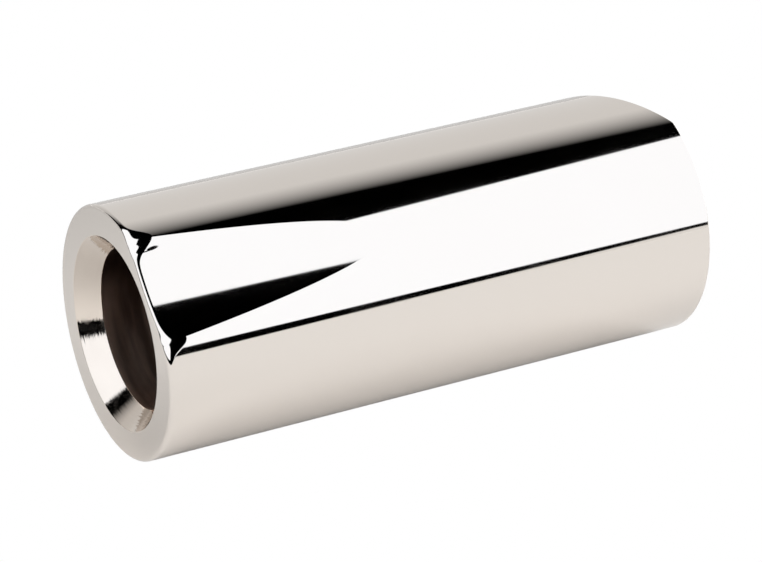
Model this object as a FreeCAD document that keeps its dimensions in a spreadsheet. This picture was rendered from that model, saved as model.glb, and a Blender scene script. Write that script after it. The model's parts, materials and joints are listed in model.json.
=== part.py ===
import FreeCAD, Part
import Sketcher
import os

# Guitar slide: one heavy-walled metal tube, worn on a finger.
#
# The slide lies on the plane Z = 0 with its axis along X, and the origin is
# under its middle. The mouth is at the -X end: a square face with a
# countersunk bore, and a scoop ground into the outside behind it. The +X end
# is square over one half and cut back at a slant over the other, where the
# finger bends out of the bore.
#
# Lengths are in millimetres. Angles are in degrees, and those round the tube
# are measured about its axis, from -Y up towards +Z.

NODE = "slide_body"

# alias, value, what it is
DIMENSIONS = [
    ("outer_diameter", 27.0, "outside of the tube"),
    ("overall_length", 63.5, "from the mouth face to the far end"),
    ("bore_diameter", 17.0, "finger bore"),
    ("mouth_diameter", 20.6, "wide end of the countersink"),
    ("mouth_depth", 2.3, "depth of the countersink"),
    ("rim_radius", 0.5, "rounding of the outside rims at both ends"),
    ("bore_edge_radius", 0.6, "rounding where the bore opens at the far end"),
    ("scoop_direction", 45.0, "angle round the tube that the scoop faces"),
    ("scoop_radius", 21.6, "radius of the scoop, across the tube"),
    ("scoop_length", 26.3, "from the mouth face to the end of the scoop"),
    ("scoop_depth", 2.04, "depth of the scoop at the mouth face"),
    ("slant_direction", 159.2, "angle round the tube that the slanted cut faces"),
    ("slant_angle", 29.3, "lean of the cut away from a square end"),
    ("slant_offset", 0.64, "distance past the axis at which the cut begins"),
    ("overrun", 5.0, "how far each cut runs past the metal"),
]

TOUCH = 1e-4  # points closer than this are the same point
SMALLEST_CUT = 50.0  # cubic millimetres; a real cut takes more away
BAD_STATES = ("Invalid", "Error")


def make_sheet(doc):
    """Put the driving dimensions in a spreadsheet, one to a row."""
    sheet = doc.addObject("Spreadsheet::Sheet", "dimensions")
    for row, (alias, value, meaning) in enumerate(DIMENSIONS, start=1):
        sheet.set(f"A{row}", meaning)
        sheet.set(f"B{row}", str(value))
        sheet.setAlias(f"B{row}", alias)
    doc.recompute()
    return sheet


def attach(feature, body, role):
    """Lay a feature on one of its body's own origin planes."""
    planes = [item for item in body.Origin.OriginFeatures if item.Role == role]
    feature.AttachmentSupport = [(planes[0], "")]
    feature.MapMode = "FlatFace"


def draw_outline(sketch, points):
    """Draw straight lines through (x, y) points and back to the first."""
    corners = [FreeCAD.Vector(x, y, 0) for x, y in points]
    for start, end in zip(corners, corners[1:] + corners[:1]):
        sketch.addGeometry(Part.LineSegment(start, end), False)
    count = len(corners)
    for line in range(count):
        sketch.addConstraint(Sketcher.Constraint("Coincident", line, 2, (line + 1) % count, 1))


def bind(sketch, name, kind, place, value, expression):
    """Add one named dimension to a sketch and bind it to the sheet."""
    index = sketch.addConstraint(Sketcher.Constraint(kind, *place, value))
    sketch.renameConstraint(index, name)
    sketch.setExpression(f"Constraints.{name}", expression)


def check_cut(before, after):
    """Stop if a cut has taken nothing away."""
    if before.Shape.Volume - after.Shape.Volume < SMALLEST_CUT:
        raise RuntimeError(f"{after.Label} cuts nothing")


def add_tube(body, sheet):
    """Turn the wall of the tube, with its countersunk mouth, about X."""
    outer = sheet.outer_diameter / 2
    bore = sheet.bore_diameter / 2
    mouth = sheet.mouth_diameter / 2
    length = sheet.overall_length
    wall = body.newObject("Sketcher::SketchObject", "wall_section")
    attach(wall, body, "XZ_Plane")
    draw_outline(wall, [(0, mouth), (0, outer), (length, outer), (length, bore), (sheet.mouth_depth, bore)])
    for kind, line in (("Vertical", 0), ("Horizontal", 1), ("Vertical", 2), ("Horizontal", 3)):
        wall.addConstraint(Sketcher.Constraint(kind, line))
    wall.addConstraint(Sketcher.Constraint("PointOnObject", 0, 1, -2))
    bind(wall, "mouth", "DistanceY", (-1, 1, 0, 1), mouth, "dimensions.mouth_diameter / 2")
    bind(wall, "outer", "DistanceY", (-1, 1, 0, 2), outer, "dimensions.outer_diameter / 2")
    bind(wall, "bore", "DistanceY", (-1, 1, 3, 2), bore, "dimensions.bore_diameter / 2")
    bind(wall, "length", "DistanceX", (1, 1, 1, 2), length, "dimensions.overall_length")
    bind(wall, "depth", "DistanceX", (-1, 1, 3, 2), sheet.mouth_depth, "dimensions.mouth_depth")
    tube = body.newObject("PartDesign::Revolution", "tube")
    tube.Profile = wall
    tube.ReferenceAxis = (wall, ["H_Axis"])
    return tube


def add_scoop(body):
    """Grind a shallow hollow into the outside, deepest at the mouth face.

    The cutter is a cylinder whose axis leans away from the tube, so that the
    hollow runs out where the scoop ends.
    """
    scoop = body.newObject("PartDesign::SubtractiveCylinder", "scoop")
    attach(scoop, body, "YZ_Plane")
    lean = "atan(dimensions.scoop_depth / dimensions.scoop_length)"
    round_tube = "(180 - dimensions.scoop_direction) * 1 deg"
    axis_distance = (
        "(dimensions.outer_diameter / 2 - dimensions.scoop_depth"
        f" + dimensions.scoop_radius / cos({lean}) - dimensions.overrun * tan({lean}))"
    )
    scoop.setExpression("Radius", "dimensions.scoop_radius")
    scoop.setExpression("Height", "dimensions.scoop_length * 2")
    scoop.setExpression(
        "AttachmentOffset",
        f"placement(vector({axis_distance} * cos({round_tube}); {axis_distance} * sin({round_tube});"
        f" -dimensions.overrun); rotation({round_tube}; {lean}; 0 deg))",
    )
    return scoop


def add_slant(body, sheet):
    """Cut the far end back at a slant, over one half of the tube."""
    length = sheet.overall_length
    top = sheet.outer_diameter / 2 + sheet.overrun
    beyond = length + sheet.overrun
    start = -sheet.slant_offset
    wedge = body.newObject("Sketcher::SketchObject", "slant_section")
    attach(wedge, body, "XZ_Plane")
    wedge.setExpression(
        "AttachmentOffset",
        "placement(vector(0; 0; 0); rotation(0 deg; 0 deg; (90 - dimensions.slant_direction) * 1 deg))",
    )
    draw_outline(wedge, [(length, start), (length - top, top), (beyond, top), (beyond, start)])
    for kind, line in (("Horizontal", 1), ("Vertical", 2), ("Horizontal", 3)):
        wedge.addConstraint(Sketcher.Constraint(kind, line))
    bind(wedge, "length", "DistanceX", (-1, 1, 0, 1), length, "dimensions.overall_length")
    bind(wedge, "start", "DistanceY", (0, 1, -1, 1), -start, "dimensions.slant_offset")
    bind(wedge, "top", "DistanceY", (-1, 1, 0, 2), top, "dimensions.outer_diameter / 2 + dimensions.overrun")
    bind(wedge, "beyond", "DistanceX", (0, 1, 2, 2), sheet.overrun, "dimensions.overrun")
    bind(wedge, "slope", "Angle", (0,), 2.0, "90 deg + dimensions.slant_angle * 1 deg")
    slant = body.newObject("PartDesign::Pocket", "slanted_cut")
    slant.Profile = wedge
    slant.SideType = "Symmetric"
    slant.setExpression("Length", "dimensions.outer_diameter + 2 * dimensions.overrun")
    return slant


def radial_distance(point):
    """Distance of a point from the tube's axis, in the body's own frame."""
    return (point.y**2 + point.z**2) ** 0.5


def middle_of(edge):
    """The point halfway along an edge."""
    return edge.valueAt((edge.FirstParameter + edge.LastParameter) / 2)


def mouth_rim_edges(shape, sheet):
    """Name the edges round the outside of the mouth face, the scoop's among them."""
    mouth = sheet.mouth_diameter / 2
    return [
        f"Edge{number}"
        for number, edge in enumerate(shape.Edges, start=1)
        if edge.BoundBox.XMax < TOUCH and radial_distance(middle_of(edge)) > mouth + TOUCH
    ]


def far_edges(shape, diameter, sheet):
    """Name the edges of this diameter that bound the far end of the tube."""
    return [
        f"Edge{number}"
        for number, edge in enumerate(shape.Edges, start=1)
        if edge.BoundBox.XMin > sheet.overall_length / 2
        and abs(radial_distance(middle_of(edge)) - diameter / 2) < TOUCH
    ]


def add_rounding(doc, body, name, base, edges, size):
    """Round these edges of the shape so far, to a radius on the sheet."""
    rounding = body.newObject("PartDesign::Fillet", name)
    rounding.Base = (base, edges)
    rounding.setExpression("Radius", f"dimensions.{size}")
    doc.recompute()
    if len(rounding.Shape.Faces) <= len(base.Shape.Faces):
        raise RuntimeError(f"{name} rounds nothing")
    return rounding


def make_slide(doc, sheet):
    """Build the whole slide in its own frame and lay it on Z = 0."""
    body = doc.addObject("PartDesign::Body", NODE)
    body.Label = NODE
    body.setExpression(
        "Placement",
        "placement(vector(-dimensions.overall_length / 2; 0; dimensions.outer_diameter / 2);"
        " rotation(0 deg; 0 deg; 0 deg))",
    )
    tube = add_tube(body, sheet)
    doc.recompute()
    scoop = add_scoop(body)
    doc.recompute()
    check_cut(tube, scoop)
    slant = add_slant(body, sheet)
    doc.recompute()
    check_cut(scoop, slant)
    edges = mouth_rim_edges(slant.Shape, sheet)
    mouth_rim = add_rounding(doc, body, "mouth_rim", slant, edges, "rim_radius")
    edges = far_edges(mouth_rim.Shape, sheet.outer_diameter, sheet)
    far_rim = add_rounding(doc, body, "far_rim", mouth_rim, edges, "rim_radius")
    edges = far_edges(far_rim.Shape, sheet.bore_diameter, sheet)
    add_rounding(doc, body, "bore_edge", far_rim, edges, "bore_edge_radius")
    return body


def check_document(doc, bodies):
    """Stop if any object failed, or any sub-part has no sound shape."""
    for item in doc.Objects:
        if any(state in BAD_STATES for state in item.State):
            raise RuntimeError(f"{item.Label} failed: {item.State}")
    for body in bodies:
        if body.Shape.isNull() or not body.Shape.isValid():
            raise RuntimeError(f"{body.Label} has no valid shape")


def main():
    doc = FreeCAD.newDocument("guitar_slide")
    sheet = make_sheet(doc)
    bodies = [make_slide(doc, sheet)]
    doc.recompute()
    check_document(doc, bodies)
    os.makedirs("parts", exist_ok=True)
    for body in bodies:
        body.Shape.exportStep(f"parts/{body.Label}.step")
        box = body.Shape.BoundBox
        print(body.Label, "solids", len(body.Shape.Solids), "volume", round(body.Shape.Volume, 1), box)


main()
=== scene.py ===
import json
import math

import bpy
import numpy as np
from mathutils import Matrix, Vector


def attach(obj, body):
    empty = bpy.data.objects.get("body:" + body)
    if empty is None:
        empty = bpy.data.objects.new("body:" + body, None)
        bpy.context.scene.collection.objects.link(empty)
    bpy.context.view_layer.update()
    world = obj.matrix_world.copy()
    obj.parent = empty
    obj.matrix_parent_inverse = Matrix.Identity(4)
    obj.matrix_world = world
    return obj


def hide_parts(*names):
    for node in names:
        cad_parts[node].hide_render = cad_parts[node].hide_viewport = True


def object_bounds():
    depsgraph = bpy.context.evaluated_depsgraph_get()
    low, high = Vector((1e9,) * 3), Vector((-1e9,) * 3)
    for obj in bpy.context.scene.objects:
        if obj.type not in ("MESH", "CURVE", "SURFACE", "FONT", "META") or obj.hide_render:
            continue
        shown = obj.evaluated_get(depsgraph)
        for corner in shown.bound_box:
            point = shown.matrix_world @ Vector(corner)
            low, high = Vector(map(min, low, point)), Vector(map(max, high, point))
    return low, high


# The looks of a guitar slide: one polished, nickel-plated tube that lies on its side.
#
# The CAD solid is replaced by one finely divided closed mesh of the same shape. A mirror
# finish shows every flat facet, so the mesh has exact normals, and its edges are eased the
# way a buffing wheel eases them. Lengths in this file are in millimetres until the mesh is
# written. The station is the distance from the mouth face along the tube, and angles round
# the tube are measured about its axis, from -Y up towards +Z.

MM = 0.001

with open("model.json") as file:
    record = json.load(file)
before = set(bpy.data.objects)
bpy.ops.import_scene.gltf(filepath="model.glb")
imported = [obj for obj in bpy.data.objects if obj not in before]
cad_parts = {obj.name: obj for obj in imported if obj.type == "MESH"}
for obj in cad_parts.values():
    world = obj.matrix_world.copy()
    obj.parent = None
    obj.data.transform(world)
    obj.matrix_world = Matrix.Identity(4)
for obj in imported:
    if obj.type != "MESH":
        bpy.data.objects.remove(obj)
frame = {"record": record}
cad_low, cad_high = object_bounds()

# ---------------------------------------------------------------- sizes, in millimetres

OUTER_RADIUS = (cad_high.z - cad_low.z) / MM / 2
LENGTH = (cad_high.x - cad_low.x) / MM
BORE_RADIUS = frame["record"]["mounts"][0]["dims"]["r_mm"]

MOUTH_RADIUS = 10.3  # wide end of the countersink
MOUTH_DEPTH = 2.3
MOUTH_EDGE = 0.10  # easing of the countersink's two edges

SCOOP_DIRECTION = math.radians(45.0)
SCOOP_RADIUS = 21.6
SCOOP_LENGTH = 26.3
SCOOP_DEPTH = 2.04
SCOOP_EDGE = 0.8  # radius that buffing gives the scoop's long edges
SCOOP_TIP = 0.35  # half-width at which the mesh stops closing in on the scoop's tip

MARK_DEPTH = 0.09  # a faint mark in the scoop, near its upper corner
MARK_STATION = 1.3
MARK_TURN = math.radians(20.2)  # from the middle of the scoop
MARK_LENGTH = 1.1
MARK_WIDTH = 0.22

RIM_RADIUS = 0.15  # outer rim at the far end
MOUTH_RIM = 0.42  # rounding round the mouth face
LIP_DEPTH = 0.26  # how far in it reaches along the scoop
LIP_BLEND = math.radians(3.0)
CORNER_LENGTH = 2.05  # how much further it reaches along the tube at the scoop's two corners
CORNER_DEPTH = 0.62  # and how much further inwards
CORNER_SPREAD = math.radians(5.0)  # how far round the tube each corner's rounding spreads
CORNER_INNER_SPREAD = math.radians(5.2)  # and how far into the scoop
CORNER_FLATNESS = 0.35  # how much flatter than an ellipse each corner is in the middle of its turn
BORE_EDGE = 0.6  # where the bore opens at the far end

SLANT_DIRECTION = math.radians(159.2)
SLANT_ANGLE = math.radians(29.3)
SLANT_OFFSET = 0.64
SLANT_EDGE = 0.8  # radius of the ridge between the square end and the slanted one


# ---------------------------------------------------------------- shape of the tube

def soft_min(a, b, width):
    """The smaller of two values, rounded off where they differ by less than width."""
    near = np.maximum(width - np.abs(a - b), 0.0)
    return np.minimum(a, b) - near**2 / (4.0 * np.maximum(width, 1e-9))


def cutter_distance(station):
    """Distance from the tube's axis to the axis of the scoop's round cutter."""
    lean = math.atan(SCOOP_DEPTH / SCOOP_LENGTH)
    return OUTER_RADIUS - SCOOP_DEPTH + SCOOP_RADIUS / math.cos(lean) + station * math.tan(lean)


def scoop_edge_angle(station):
    """Half the angle round the tube that the scoop spans at a station."""
    reach = cutter_distance(station)
    cosine = (reach**2 + OUTER_RADIUS**2 - SCOOP_RADIUS**2) / (2.0 * reach * OUTER_RADIUS)
    return np.arccos(np.clip(cosine, -1.0, 1.0))


def scoop_surface(station, turn):
    """Distance from the tube's axis to the scoop, at an angle from the scoop's middle."""
    lean_cosine = math.cos(math.atan(SCOOP_DEPTH / SCOOP_LENGTH))
    reach = cutter_distance(station) * lean_cosine
    square = (lean_cosine * np.cos(turn)) ** 2 + np.sin(turn) ** 2
    linear = reach * lean_cosine * np.cos(turn)
    inside = linear**2 - square * (reach**2 - SCOOP_RADIUS**2)
    near_side = (linear - np.sqrt(np.maximum(inside, 0.0))) / square
    return np.where((inside > 0.0) & (np.cos(turn) > 0.0), near_side, 2.0 * OUTER_RADIUS)


def from_scoop_middle(angle):
    """Angle round the tube from the middle of the scoop, between -pi and pi."""
    return (angle - SCOOP_DIRECTION + math.pi) % (2.0 * math.pi) - math.pi


def grinding_mark(station, turn):
    """Depth of the one faint lengthwise mark that the polishing has left in the scoop."""
    along = (station - MARK_STATION) / MARK_LENGTH
    across = (turn - MARK_TURN) * OUTER_RADIUS / MARK_WIDTH
    return MARK_DEPTH * np.exp(-(along**2) - across**2)


def outer_surface(station, angle):
    """Distance from the tube's axis to its outside, scoop and eased scoop edges included."""
    turn = from_scoop_middle(angle)
    half = scoop_edge_angle(station)
    bend = half + np.arcsin(np.clip(OUTER_RADIUS * np.sin(half) / SCOOP_RADIUS, -1.0, 1.0))
    easing = SCOOP_EDGE * bend**2 / 2.0
    scoop = scoop_surface(station, turn) - grinding_mark(station, turn)
    return soft_min(OUTER_RADIUS, scoop, easing)


def end_station(radius, angle):
    """Station of the far end's surface, square over one half and slanted over the other."""
    along = radius * np.cos(angle - SLANT_DIRECTION)
    slant = LENGTH - math.tan(SLANT_ANGLE) * (along + SLANT_OFFSET)
    return soft_min(LENGTH, slant, SLANT_EDGE * SLANT_ANGLE**2 / 2.0)


def end_lean(radius, angle):
    """How fast the end surface moves along the tube for each step outwards."""
    step = 0.01
    return (end_station(radius + step, angle) - end_station(radius - step, angle)) / (2.0 * step)


def rounded_corner(corner, arriving, leaving, radius, share):
    """Points on the arc that rounds a corner, at shares 0 to 1 of its turn.

    Directions are (station, radius) unit vectors for each column of the mesh.
    """
    turn = np.arccos(np.clip(arriving[0] * leaving[0] + arriving[1] * leaving[1], -1.0, 1.0))
    side = np.sign(arriving[0] * leaving[1] - arriving[1] * leaving[0])
    tangent = radius * np.tan(turn / 2.0)
    across = (-side * arriving[1], side * arriving[0])
    centre = [corner[i] - tangent * arriving[i] + radius * across[i] for i in (0, 1)]
    swing = share * turn
    return [
        centre[i] + radius * (np.sin(swing) * arriving[i] - np.cos(swing) * across[i])
        for i in (0, 1)
    ]


def unit(along, out):
    size = np.sqrt(along**2 + out**2)
    return along / size, out / size


# ---------------------------------------------------------------- the mesh's rows

def steps(start, stop, count, crowd=1.0):
    """Values from start up to, but not including, stop; crowd over 1 packs them near start."""
    return start + (stop - start) * (np.arange(count) / count) ** crowd


def mouth_rounding(angle):
    """Length, depth and power of the mouth rim's rounding, largest at the scoop's corners."""
    past_corner = np.abs(from_scoop_middle(angle)) - scoop_edge_angle(0.0)
    spread = np.where(past_corner > 0.0, CORNER_SPREAD, CORNER_INNER_SPREAD)
    corner = np.exp(-((past_corner / spread) ** 2))
    outside_scoop = 0.5 + 0.5 * np.tanh(past_corner / LIP_BLEND)
    length = MOUTH_RIM + CORNER_LENGTH * corner
    depth = LIP_DEPTH + (MOUTH_RIM - LIP_DEPTH) * outside_scoop + CORNER_DEPTH * corner
    return length, depth, 1.0 + CORNER_FLATNESS * corner


def signed_power(value, power):
    """A power of a value that keeps its sign."""
    return math.copysign(1.0, value) * abs(value) ** power


def mouth_face_row(share, angle):
    """The flat ring round the countersink, from the countersink outwards."""
    inner = mouth_edge_row(1.0, angle)[1]
    outer = mouth_rim_row(0.0, angle)[1]
    return np.zeros_like(angle), inner + (outer - inner) * share


def mouth_rim_row(share, angle):
    """The rounded rim between the mouth face and the outside."""
    swing = share * math.pi / 2.0
    length, depth, power = mouth_rounding(angle)
    station = length * (1.0 - signed_power(math.cos(swing), power))
    inset = depth * (1.0 - signed_power(math.sin(swing), power))
    return station, outer_surface(station, angle) - inset


def outside_row(share, angle):
    """The outside, from the mouth's rim to the far rim."""
    start = mouth_rounding(angle)[0]
    station = start + (far_rim_start(angle) - start) * share
    return station, outer_surface(station, angle)


def far_directions(radius, angle):
    """Unit directions of the outside and of the end surface, in (station, radius)."""
    lean = end_lean(radius, angle)
    outside = (np.ones_like(angle), np.zeros_like(angle))
    return outside, unit(-lean, -np.ones_like(angle))


def far_rim_start(angle):
    return far_rim_row(0.0, angle)[0]


def far_rim_row(share, angle):
    """The rounded rim between the outside and the far end."""
    outside, face = far_directions(OUTER_RADIUS, angle)
    corner = (end_station(OUTER_RADIUS, angle), OUTER_RADIUS * np.ones_like(angle))
    return rounded_corner(corner, outside, face, RIM_RADIUS, share)


def bore_edge_row(share, angle):
    """The rounded edge between the far end and the bore."""
    outside, face = far_directions(BORE_RADIUS, angle)
    corner = (end_station(BORE_RADIUS, angle), BORE_RADIUS * np.ones_like(angle))
    return rounded_corner(corner, face, (-outside[0], outside[1]), BORE_EDGE, share)


def far_face_row(share, angle):
    """The far end's surface, from its outer rim in to the bore's edge."""
    outer = far_rim_row(1.0, angle)[1]
    inner = bore_edge_row(0.0, angle)[1]
    radius = outer + (inner - outer) * share
    return end_station(radius, angle), radius


def bore_row(share, angle):
    """The bore, from the far end back to the countersink."""
    start = bore_edge_row(1.0, angle)[0]
    return start + (MOUTH_DEPTH + MOUTH_EDGE - start) * share, BORE_RADIUS * np.ones_like(angle)


def countersink_direction():
    return unit(np.float64(-MOUTH_DEPTH), np.float64(MOUTH_RADIUS - BORE_RADIUS))


def throat_row(share, angle):
    """The eased edge between the bore and the countersink."""
    corner = (MOUTH_DEPTH, BORE_RADIUS)
    towards_mouth = (-1.0, 0.0)
    station, radius = rounded_corner(corner, towards_mouth, countersink_direction(), MOUTH_EDGE, share)
    return station * np.ones_like(angle), radius * np.ones_like(angle)


def mouth_edge_row(share, angle):
    """The eased edge between the countersink and the mouth face."""
    corner = (0.0, MOUTH_RADIUS)
    outwards = (0.0, 1.0)
    station, radius = rounded_corner(corner, countersink_direction(), outwards, MOUTH_EDGE, share)
    return station * np.ones_like(angle), radius * np.ones_like(angle)


def countersink_row(share, angle):
    """The countersink's cone, from the bore out to the mouth face."""
    inner = throat_row(1.0, angle)
    outer = mouth_edge_row(0.0, angle)
    return [inner[i] + (outer[i] - inner[i]) * share for i in (0, 1)]


POLISHED, TURNED, BORED = range(3)

# row function, material, shares at which it makes rows
SECTION = [
    (mouth_face_row, POLISHED, steps(0.0, 1.0, 6)),
    (mouth_rim_row, POLISHED, steps(0.0, 1.0, 28)),
    (outside_row, POLISHED, steps(0.0, 1.0, 100, 1.6)),
    (far_rim_row, POLISHED, steps(0.0, 1.0, 10)),
    (far_face_row, POLISHED, steps(0.0, 1.0, 12)),
    (bore_edge_row, POLISHED, steps(0.0, 1.0, 10)),
    (bore_row, BORED, steps(0.0, 1.0, 40)),
    (throat_row, TURNED, steps(0.0, 1.0, 4)),
    (countersink_row, TURNED, steps(0.0, 1.0, 14)),
    (mouth_edge_row, TURNED, steps(0.0, 1.0, 4)),
]


# ---------------------------------------------------------------- the mesh's columns

INSIDE_SCOOP = np.linspace(0.0, 1.0, 90, endpoint=False)
ALONG_EDGE = np.linspace(0.0, 1.0, 30, endpoint=False)
ROUND_THE_REST = np.linspace(0.0, 1.0, 348, endpoint=False)
EDGE_WIDTH = 0.45  # half-width of the strip of close columns along each scoop edge


def ridge_angles():
    """Angles at which the ridge across the far end meets the outside."""
    spread = math.pi / 2.0 + math.asin(SLANT_OFFSET / OUTER_RADIUS)
    return SLANT_DIRECTION - spread, SLANT_DIRECTION + spread


def column_angles(station):
    """Angles of the mesh's columns at a station.

    Two strips of close columns follow the scoop's edges to its tip. From there they open
    out again, and the upper one ends on the near end of the ridge across the far end.
    """
    near_ridge, far_ridge = ridge_angles()
    half = scoop_edge_angle(np.minimum(station, SCOOP_LENGTH)) * OUTER_RADIUS
    half = math.sqrt(half**2 + SCOOP_TIP**2)
    past_tip = min(max((station - SCOOP_LENGTH) / (LENGTH - SCOOP_LENGTH), 0.0), 1.0)
    opening = past_tip**2 * (3.0 - 2.0 * past_tip)
    half = half + ((near_ridge - SCOOP_DIRECTION) * OUTER_RADIUS - half) * opening
    edge = min(EDGE_WIDTH, 0.5 * half)
    rest_span = 2.0 * math.pi * OUTER_RADIUS - 2.0 * (half + edge)
    ridge_share = ((far_ridge - SCOOP_DIRECTION) * OUTER_RADIUS - half - edge) / rest_span
    ridge_strip = ridge_share + (ALONG_EDGE - 0.5) * 2.0 * EDGE_WIDTH / rest_span
    rest = np.sort(np.concatenate([ROUND_THE_REST, ridge_strip]))
    places = np.concatenate([
        -half - edge + 2.0 * edge * ALONG_EDGE,
        -half + edge + 2.0 * (half - edge) * INSIDE_SCOOP,
        half - edge + 2.0 * edge * ALONG_EDGE,
        half + edge + rest_span * rest,
    ])
    return SCOOP_DIRECTION + places / OUTER_RADIUS


# ---------------------------------------------------------------- building the mesh

NOMINAL_STATION = {  # which station's columns a row uses, from its share
    outside_row: lambda share: LENGTH * share,
    bore_row: lambda share: LENGTH * (1.0 - share),
    far_rim_row: lambda share: LENGTH,
    far_face_row: lambda share: LENGTH,
    bore_edge_row: lambda share: LENGTH,
}


def at_mouth(share):
    return 0.0


def place(row, share, angle):
    """Points in the row frame, in millimetres, of one row at these angles."""
    station, radius = row(share, angle)
    x = cad_low.x / MM + station
    y = -radius * np.cos(angle)
    z = cad_low.z / MM + OUTER_RADIUS + radius * np.sin(angle)
    return np.stack([x, y, z], axis=-1)


def section_points():
    """Every vertex and its exact normal, with the material of each row of faces."""
    step = 1e-4
    points, normals, materials = [], [], []
    for row, material, shares in SECTION:
        columns = NOMINAL_STATION.get(row, at_mouth)
        for share in shares:
            angle = column_angles(columns(share))
            points.append(place(row, share, angle))
            along = place(row, share + step, angle) - place(row, share - step, angle)
            around = place(row, share, angle + step) - place(row, share, angle - step)
            normal = np.cross(along, around)
            normals.append(normal / np.linalg.norm(normal, axis=-1, keepdims=True))
            materials.append(material)
    return np.array(points), np.array(normals), materials


def grid_faces(rows, columns):
    """Quads of a grid that closes on itself both ways."""
    row, column = np.meshgrid(np.arange(rows), np.arange(columns), indexing="ij")
    next_row = (row + 1) % rows
    next_column = (column + 1) % columns
    corners = [(row, column), (next_row, column), (next_row, next_column), (row, next_column)]
    return np.stack([r * columns + c for r, c in corners], axis=-1).reshape(-1, 4)


def make_slide():
    """The slide's own mesh, which stands for the CAD solid."""
    points, normals, row_materials = section_points()
    rows, columns, _ = points.shape
    faces = grid_faces(rows, columns)
    mesh = bpy.data.meshes.new("polished_tube")
    mesh.from_pydata((points.reshape(-1, 3) * MM).tolist(), [], faces.tolist())
    mesh.update()
    for material in (polished_nickel(), turned_nickel(), bored_metal()):
        mesh.materials.append(material)
    mesh.polygons.foreach_set("material_index", np.repeat(row_materials, columns))
    mesh.polygons.foreach_set("use_smooth", np.ones(len(faces), dtype=bool))
    mesh.normals_split_custom_set_from_vertices(normals.reshape(-1, 3).tolist())
    slide = bpy.data.objects.new("polished_tube", mesh)
    bpy.context.scene.collection.objects.link(slide)
    return slide


# ---------------------------------------------------------------- materials

class Graph:
    """A short way to lay nodes in a material's or world's node tree."""

    def __init__(self, owner):
        owner.use_nodes = True
        self.tree = owner.node_tree
        self.tree.nodes.clear()

    def node(self, kind, settings=None, **inputs):
        made = self.tree.nodes.new(kind)
        for name, value in (settings or {}).items():
            setattr(made, name, value)
        for name, value in inputs.items():
            self.feed(made.inputs[name.replace("_", " ")], value)
        return made

    def feed(self, socket, value):
        if isinstance(value, bpy.types.NodeSocket):
            self.tree.links.new(value, socket)
        else:
            socket.default_value = value

    def math(self, operation, *values, clamp=False):
        made = self.tree.nodes.new("ShaderNodeMath")
        made.operation = operation
        made.use_clamp = clamp
        for socket, value in zip(made.inputs, values):
            self.feed(socket, value)
        return made.outputs[0]

    def along(self, vector, axis):
        """How far a vector reaches along an axis."""
        made = self.node("ShaderNodeVectorMath", {"operation": "DOT_PRODUCT"})
        self.feed(made.inputs[0], vector)
        self.feed(made.inputs[1], axis)
        return made.outputs["Value"]

    def glow(self, strength, color=(1.0, 1.0, 1.0)):
        """Light from the world, of this strength and colour."""
        return self.node("ShaderNodeBackground", Color=(*color, 1.0), Strength=strength).outputs[0]

    def ray(self, fact):
        """A fact about the ray that is being followed."""
        return self.node("ShaderNodeLightPath").outputs[fact]

    def choose(self, share, chosen, otherwise):
        """One shader where the share is 1, and another where it is 0."""
        mix = self.node("ShaderNodeMixShader")
        for socket, value in zip(mix.inputs, (share, otherwise, chosen)):
            self.feed(socket, value)
        return mix.outputs[0]

    def ramp(self, value, low, high, to_low=0.0, to_high=1.0, smooth=True):
        kind = "SMOOTHSTEP" if smooth else "LINEAR"
        made = self.node("ShaderNodeMapRange", {"interpolation_type": kind, "clamp": True})
        for name, entry in (("Value", value), ("From Min", low), ("From Max", high),
                            ("To Min", to_low), ("To Max", to_high)):
            self.feed(made.inputs[name], entry)
        return made.outputs["Result"]


def metal(name, color, roughness, bump_height, bump_distance):
    """A metal whose roughness and bump come from functions that lay their nodes."""
    material = bpy.data.materials.new(name)
    graph = Graph(material)
    place_node = graph.node("ShaderNodeTexCoord").outputs["Object"]
    shader = graph.node("ShaderNodeBsdfPrincipled", Metallic=1.0)
    graph.feed(shader.inputs["Base Color"], color(graph, place_node))
    graph.feed(shader.inputs["Roughness"], roughness(graph, place_node))
    bump = graph.node("ShaderNodeBump", Strength=1.0, Distance=bump_distance * MM)
    graph.feed(bump.inputs["Height"], bump_height(graph, place_node))
    graph.feed(shader.inputs["Normal"], bump.outputs["Normal"])
    output = graph.node("ShaderNodeOutputMaterial")
    graph.feed(output.inputs["Surface"], shader.outputs["BSDF"])
    return material


def noise(graph, vector, scale, detail=2.0, stretch=(1.0, 1.0, 1.0)):
    """Noise with its grain stretched along the axes, scale in features per metre."""
    mapping = graph.node("ShaderNodeMapping", Vector=vector, Scale=stretch)
    stretched = mapping.outputs["Vector"]
    made = graph.node("ShaderNodeTexNoise", Vector=stretched, Scale=scale, Detail=detail)
    return made.outputs["Fac"]


def mixed_color(graph, factor, first, second):
    made = graph.node("ShaderNodeMix", {"data_type": "RGBA"})
    graph.feed(made.inputs["Factor"], factor)
    for socket, shade in ((made.inputs[6], first), (made.inputs[7], second)):
        graph.feed(socket, (*shade, 1.0) if isinstance(shade, tuple) else shade)
    return made.outputs[2]


def polished_nickel():
    """Bright nickel: a mirror with the faint haze and wander that buffing leaves."""

    def color(graph, where):
        cloud = noise(graph, where, 90.0, 3.0)
        return mixed_color(graph, cloud, (0.733, 0.680, 0.628), (0.741, 0.690, 0.640))

    def roughness(graph, where):
        haze = noise(graph, where, 140.0, 4.0)
        wipe = noise(graph, where, 900.0, 3.0, (0.15, 1.0, 1.0))
        return graph.math("ADD", graph.ramp(haze, 0.35, 0.75, 0.035, 0.055),
                          graph.ramp(wipe, 0.5, 0.8, 0.0, 0.015))

    def height(graph, where):
        return noise(graph, where, 350.0, 2.0, (0.6, 1.0, 1.0))

    return metal("polished_nickel", color, roughness, height, 0.0004)


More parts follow.
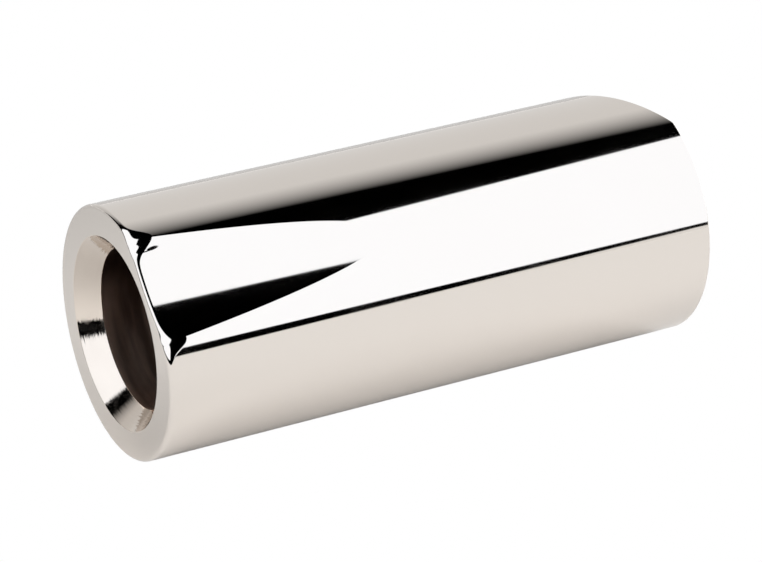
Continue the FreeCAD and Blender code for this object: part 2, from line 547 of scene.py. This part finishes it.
def turned_nickel():
    """The countersink: plated over the fine grooves that the turning tool left."""

    def color(graph, where):
        cloud = noise(graph, where, 300.0, 3.0)
        return mixed_color(graph, cloud, (0.69, 0.61, 0.54), (0.75, 0.675, 0.60))

    def roughness(graph, where):
        return graph.ramp(noise(graph, where, 1500.0, 2.0), 0.3, 0.7, 0.05, 0.12)

    def height(graph, where):
        return noise(graph, where, 4500.0, 2.0, (1.0, 0.01, 0.01))

    return metal("turned_nickel", color, roughness, height, 0.022)


def bored_metal():
    """The bore: dull, brownish metal with the drill's rings in it, and painted shade that darkens it
    along its top.
    """

    def color(graph, where):
        rings = noise(graph, where, 500.0, 3.0, (1.0, 0.12, 0.12))
        ring_share = graph.ramp(rings, 0.35, 0.65)
        tone = mixed_color(graph, ring_share, (0.22, 0.15, 0.12), (0.70, 0.53, 0.45))
        # painted shade: the bore's colour turns nearly black towards its top
        height = graph.along(where, (0.0, 0.0, 1.0))
        return mixed_color(graph, graph.ramp(height, 0.008, 0.018), tone, (0.05, 0.033, 0.026))

    def roughness(graph, where):
        return graph.ramp(noise(graph, where, 300.0, 3.0, (1.0, 0.1, 0.1)), 0.3, 0.7, 0.28, 0.4)

    def height(graph, where):
        return noise(graph, where, 900.0, 2.0, (1.0, 0.04, 0.04))

    return metal("bored_metal", color, roughness, height, 0.012)


# ---------------------------------------------------------------- studio

FLOOR_BACK = 0.62  # metres from the slide to the table's back and side edges
FLOOR_FRONT = 0.45  # and to its front edge
FRONT_PAPER = 0.77  # how much light the paper gives back in front of the slide
BACK_PAPER_SHADE = 0.50  # and well behind it: darker, painted shade for the light that falls off behind the slide
PAPER_SHADE_FADE = 0.07  # metres behind the slide's middle over which the painted shade comes in
ROOM_GLOW = 0.95  # brightness of the lit room below the table's edges
ROOM_EDGE_SLOPE = 0.278  # the table's front edge drops away to the left
ROOM_EDGE_LOWEST = -0.045

# Each softbox is the part of the sky on the positive side of every one of its edges.
# An edge is the normal of the plane through it and the object, an offset and a softness.
SOFTBOXES = [
    (2.65, [  # to the right, in front
        ((0.6940, -0.5851, -0.4197), 0.0, 0.004),
        ((0.1118, 0.1145, 0.9871), 0.0, 0.002),
        ((1.0, 0.0, 0.0), 0.16, 0.01),
    ]),
    (2.9, [  # to the left
        ((-0.576, -0.817, 0.0), 0.0, 0.01),
        ((-0.928, 0.372, 0.0), 0.223, 0.01),
        ((0.0, 0.0, 1.0), 0.235, 0.02),
    ]),
]
SOFTBOX_GLARE = (1.33, 1.41, 1.52)  # how bright they look in the metal, just short of burnt out
LEAST_GLOW = 0.5  # the dimmest that the room looks after two reflections
BACK_LIGHT = 0.82  # brightness of the panel behind the slide
BACK_EDGE = (0.4371, 0.7377, -0.5165)  # the back panel fades in across this edge
BACK_FADE = (-0.055, 0.30)
BACK_LEFT_END = (-0.54, -0.44)  # and across its left end
BACK_BRIGHTENING = (-0.5, 0.3, 0.8, 1.0)  # from 0.8 of its light at the left to all of it
TABLE_LINE = 0.002  # softness of the line where the panel meets the table


def softbox_share(graph, direction, edges):
    """How fully a direction lies inside one softbox."""
    total = 1.0
    for normal, offset, softness in edges:
        side = graph.along(direction, normal)
        inside = graph.ramp(side, offset - softness, offset + softness)
        total = graph.math("MULTIPLY", total, inside)
    return total


def back_light(graph, direction):
    """Brightness of the panel behind the slide, quick to rise at its edge, then levelling off."""
    share = graph.ramp(graph.along(direction, BACK_EDGE), *BACK_FADE, smooth=False)
    eased = graph.math("MULTIPLY", share, graph.math("MULTIPLY_ADD", share, -0.5, 1.5))
    rightwards = graph.along(direction, (1.0, 0.0, 0.0))
    left_end = graph.ramp(rightwards, *BACK_LEFT_END)
    across = graph.math("MULTIPLY", left_end, graph.ramp(rightwards, *BACK_BRIGHTENING))
    above_table = graph.ramp(graph.along(direction, (0.0, 0.0, 1.0)), 0.0, TABLE_LINE)
    light = graph.math("MULTIPLY", graph.math("MULTIPLY", eased, across), above_table)
    return graph.math("MULTIPLY", light, BACK_LIGHT)


def room_light(graph, direction):
    """Brightness of the lit room seen past the table's edges, just below eye level."""
    rightwards = graph.along(direction, (1.0, 0.0, 0.0))
    edge = graph.math("MULTIPLY_ADD", rightwards, ROOM_EDGE_SLOPE, -ROOM_EDGE_SLOPE / 2.0)
    edge = graph.math("MINIMUM", graph.math("MAXIMUM", edge, ROOM_EDGE_LOWEST), 0.0)
    forwards = graph.along(direction, (0.0, -1.0, 0.0))
    edge = graph.math("MULTIPLY", edge, graph.ramp(forwards, 0.0, 0.2))
    below = graph.math("SUBTRACT", edge, graph.along(direction, (0.0, 0.0, 1.0)))
    return graph.math("MULTIPLY", graph.ramp(below, -0.001, 0.001), ROOM_GLOW)


def make_studio():
    """A dark room with soft panels.

    The softboxes light the paper at their full brightness, but look only as bright in the
    metal as a camera can record. The room is white where it is looked at directly.
    """
    world = bpy.data.worlds.new("studio")
    graph = Graph(world)
    direction = graph.node("ShaderNodeTexCoord").outputs["Generated"]
    room = graph.math("ADD", room_light(graph, direction), back_light(graph, direction))
    on_paper, in_metal = room, 0.0
    for brightness, edges in SOFTBOXES:
        share = softbox_share(graph, direction, edges)
        on_paper = graph.math("MULTIPLY_ADD", share, brightness, on_paper)
        in_metal = graph.math("ADD", share, in_metal, clamp=True)
    glare = graph.glow(in_metal, SOFTBOX_GLARE)
    seen_in_metal = graph.node("ShaderNodeAddShader")
    graph.feed(seen_in_metal.inputs[0], glare)
    graph.feed(seen_in_metal.inputs[1], graph.glow(room))
    early = graph.math("LESS_THAN", graph.ray("Ray Depth"), 2.5)
    first_reflection = graph.math("MULTIPLY", graph.ray("Is Glossy Ray"), early)
    seen_twice = graph.glow(graph.math("MAXIMUM", on_paper, LEAST_GLOW))
    lit = graph.choose(graph.ray("Is Glossy Ray"), seen_twice, graph.glow(on_paper))
    lit = graph.choose(first_reflection, seen_in_metal.outputs[0], lit)
    output = graph.node("ShaderNodeOutputWorld")
    seen = graph.choose(graph.ray("Is Camera Ray"), graph.glow(1.0), lit)
    graph.feed(output.inputs["Surface"], seen)
    bpy.context.scene.world = world


def floor_material():
    """Matt pale paper: blown out to white where the camera looks at it, and painted darker behind the
    slide as shade.
    """
    material = bpy.data.materials.new("white_paper")
    graph = Graph(material)
    where = graph.node("ShaderNodeTexCoord").outputs["Object"]
    backwards = graph.along(where, (0.0, 1.0, 0.0))
    # painted shade: the paper's colour darkens from in front of the slide to behind it
    tone = graph.ramp(backwards, 0.0, PAPER_SHADE_FADE, FRONT_PAPER, BACK_PAPER_SHADE)
    shade = graph.node("ShaderNodeCombineColor", Red=tone, Green=tone, Blue=tone)
    paper = graph.node("ShaderNodeBsdfDiffuse", Color=shade.outputs[0])
    white = graph.node("ShaderNodeEmission", Color=(1.0, 1.0, 1.0, 1.0), Strength=1.0)
    output = graph.node("ShaderNodeOutputMaterial")
    seen = graph.choose(graph.ray("Is Camera Ray"), white.outputs[0], paper.outputs[0])
    graph.feed(output.inputs["Surface"], seen)
    return material


def make_floor():
    corners = [
        (-FLOOR_BACK, -FLOOR_FRONT),
        (FLOOR_BACK, -FLOOR_FRONT),
        (FLOOR_BACK, FLOOR_BACK),
        (-FLOOR_BACK, FLOOR_BACK),
    ]
    mesh = bpy.data.meshes.new("floor")
    mesh.from_pydata([(x, y, cad_low.z) for x, y in corners], [], [(0, 1, 2, 3)])
    mesh.materials.append(floor_material())
    floor = bpy.data.objects.new("floor", mesh)
    bpy.context.scene.collection.objects.link(floor)


# ---------------------------------------------------------------- camera

CAMERA_AZIMUTH = math.radians(-28.09)
CAMERA_ELEVATION = math.radians(26.81)
CAMERA_LENS = 168.05  # millimetres, on a sensor 36 mm wide
CAMERA_FROM_MOUTH = (-127.57, -296.90, 168.78)  # from the middle of the mouth face


def make_camera():
    data = bpy.data.cameras.new("camera")
    data.lens = CAMERA_LENS
    data.sensor_width = 36.0
    data.clip_start = 0.01
    camera = bpy.data.objects.new("camera", data)
    mouth = (cad_low.x / MM, 0.0, cad_low.z / MM + OUTER_RADIUS)
    camera.location = [(m + c) * MM for m, c in zip(mouth, CAMERA_FROM_MOUTH)]
    camera.rotation_euler = (math.pi / 2.0 - CAMERA_ELEVATION, 0.0, CAMERA_AZIMUTH)
    bpy.context.scene.collection.objects.link(camera)
    bpy.context.scene.camera = camera


def set_picture():
    scene = bpy.context.scene
    scene.view_settings.view_transform = "Standard"
    scene.view_settings.look = "None"


make_camera()
make_studio()
make_floor()
set_picture()

slide = make_slide()
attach(slide, "root")
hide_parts("slide_body")
